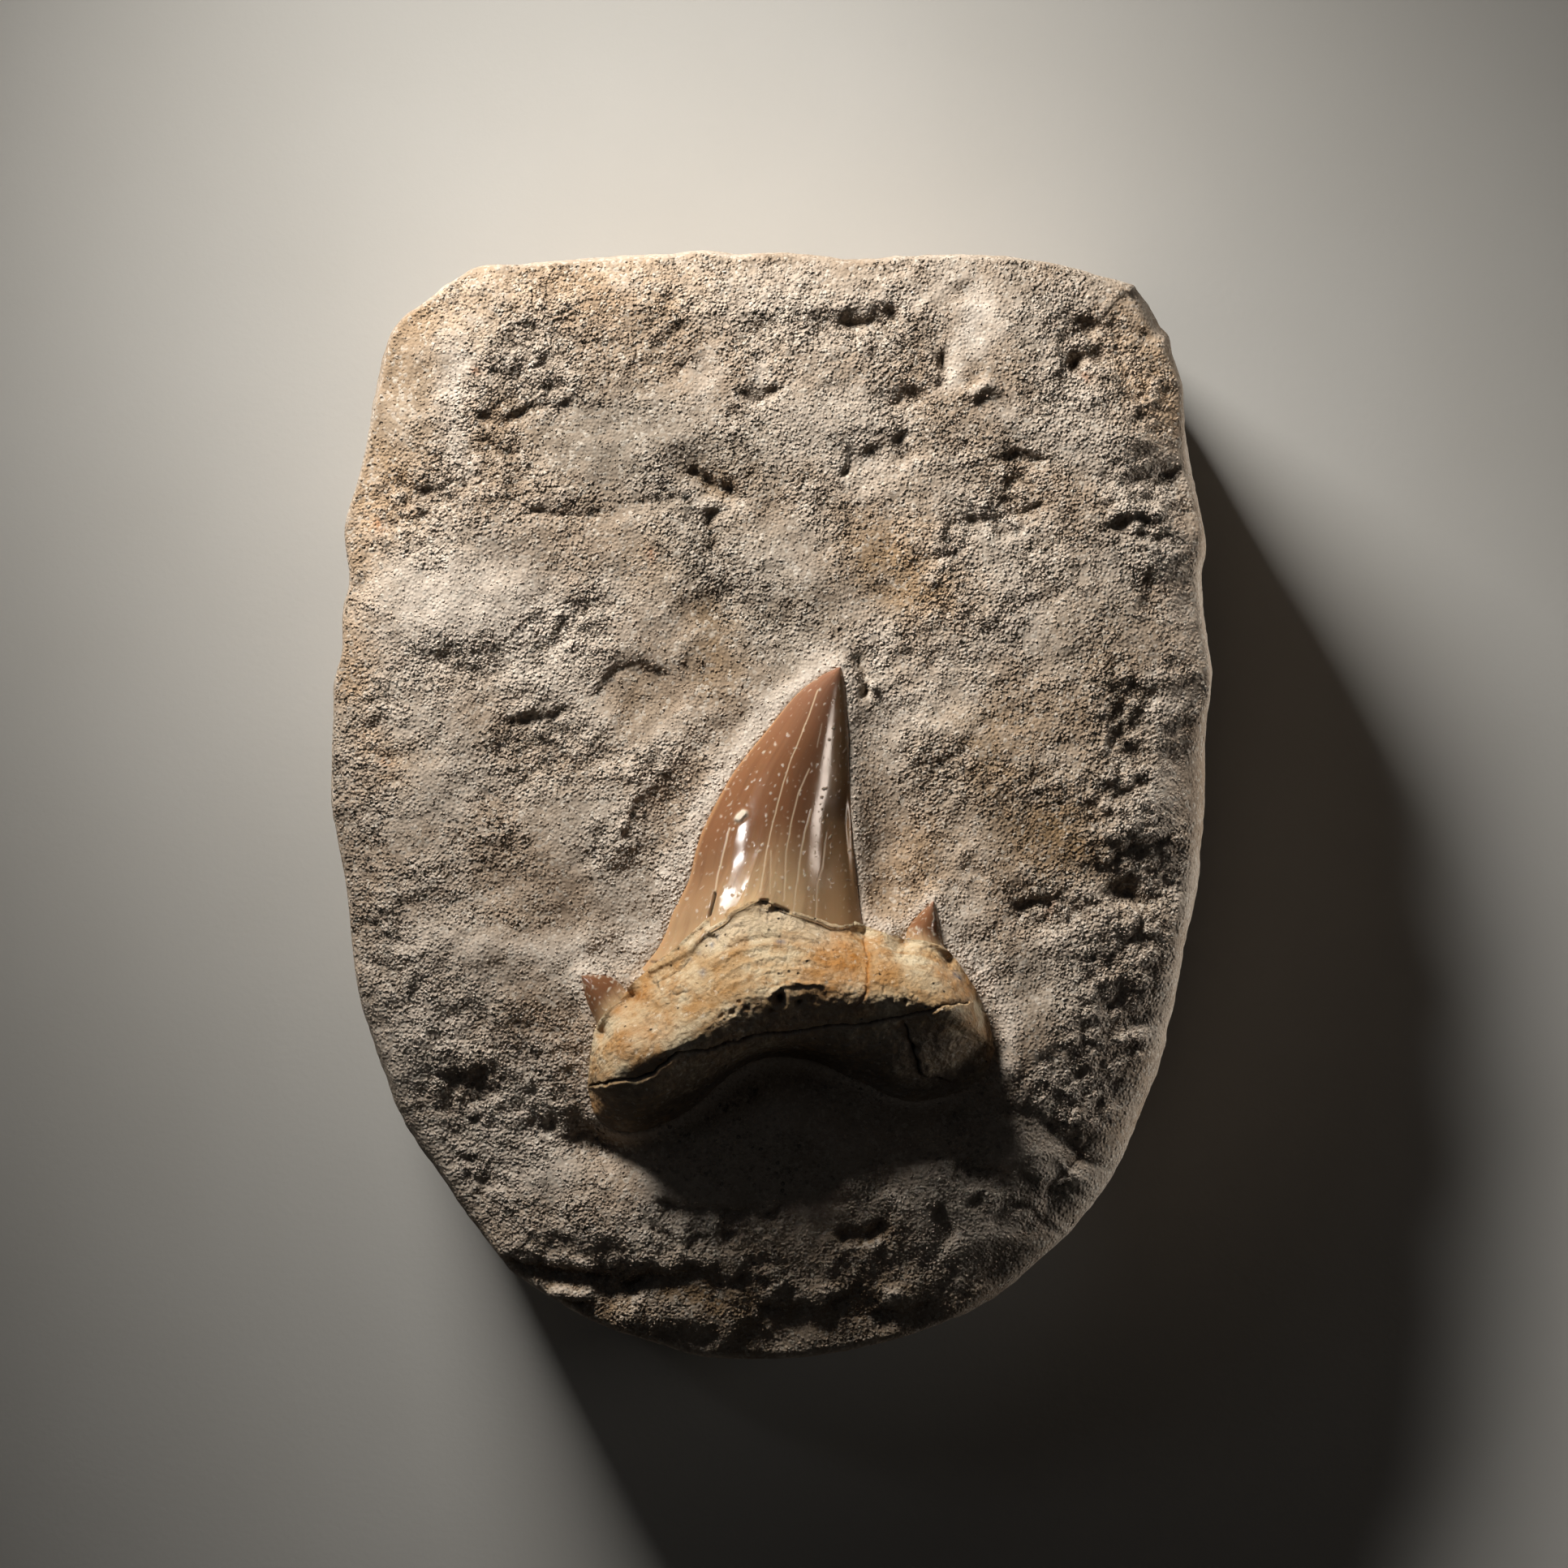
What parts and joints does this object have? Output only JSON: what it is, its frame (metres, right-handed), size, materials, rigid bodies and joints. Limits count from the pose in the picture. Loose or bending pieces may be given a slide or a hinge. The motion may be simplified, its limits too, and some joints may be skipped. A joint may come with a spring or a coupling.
{
  "type": "fossil shark tooth in matrix",
  "caption": "Fossil Otodus shark tooth with root and side cusplets, lying in a trimmed slab of sandy stone matrix.",
  "frame": {"origin": "middle of the slab's bounding box on its flat back", "axes": "+Z out of the slab's front, where the tooth lies; +Y towards the end that the tooth's tip points to, along the slab's length"},
  "size_m": [0.0993, 0.1247, 0.0416],
  "materials": {
    "stone_matrix": "matte",
    "tooth_root": "matte",
    "tooth_enamel": "gloss"
  },
  "bodies": {
    "root": {"stone_matrix": "stone_matrix", "shark_tooth": "tooth_root"}
  },
  "joints": []
}
